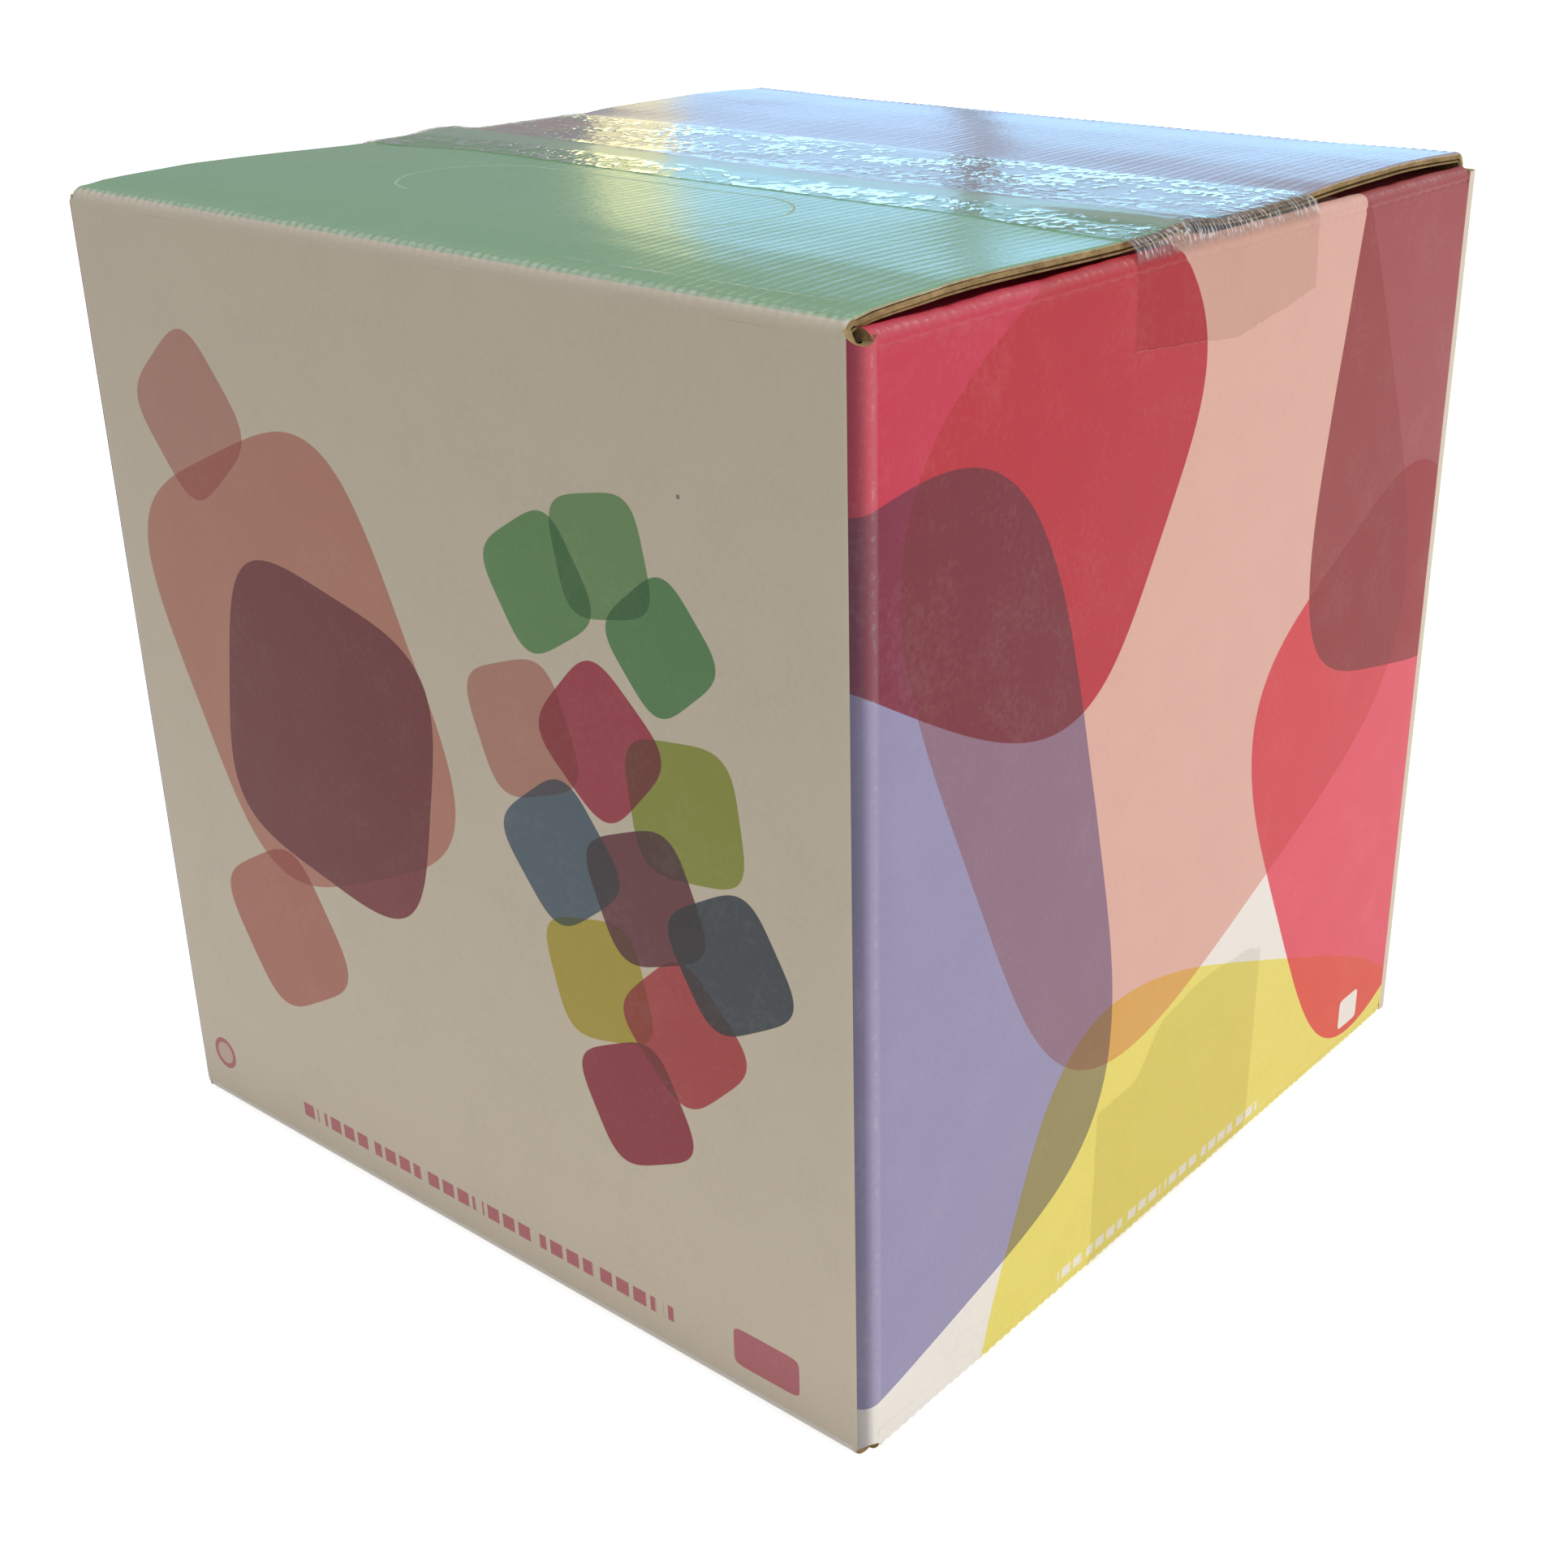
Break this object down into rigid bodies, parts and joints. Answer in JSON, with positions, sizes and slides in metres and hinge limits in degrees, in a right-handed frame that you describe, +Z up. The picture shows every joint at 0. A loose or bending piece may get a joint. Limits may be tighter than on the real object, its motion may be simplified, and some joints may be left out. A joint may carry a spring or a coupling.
{
  "type": "bag in box carton",
  "caption": "Sealed corrugated carton for three litres of boxed wine, near-cubic, closed top and bottom by wide flaps under clear tape.",
  "frame": {"origin": "middle of the footprint, on the surface that the carton stands on", "axes": "+X to the right along the cream front, +Y to the back, +Z up"},
  "size_m": [0.1568, 0.1576, 0.1607],
  "materials": {
    "printed_board": "satin print on corrugated board",
    "clear_tape": "clear glossy film"
  },
  "bodies": {
    "root": {"carton": "printed_board", "top_tape": "clear_tape", "bottom_tape": "clear_tape"}
  },
  "joints": []
}
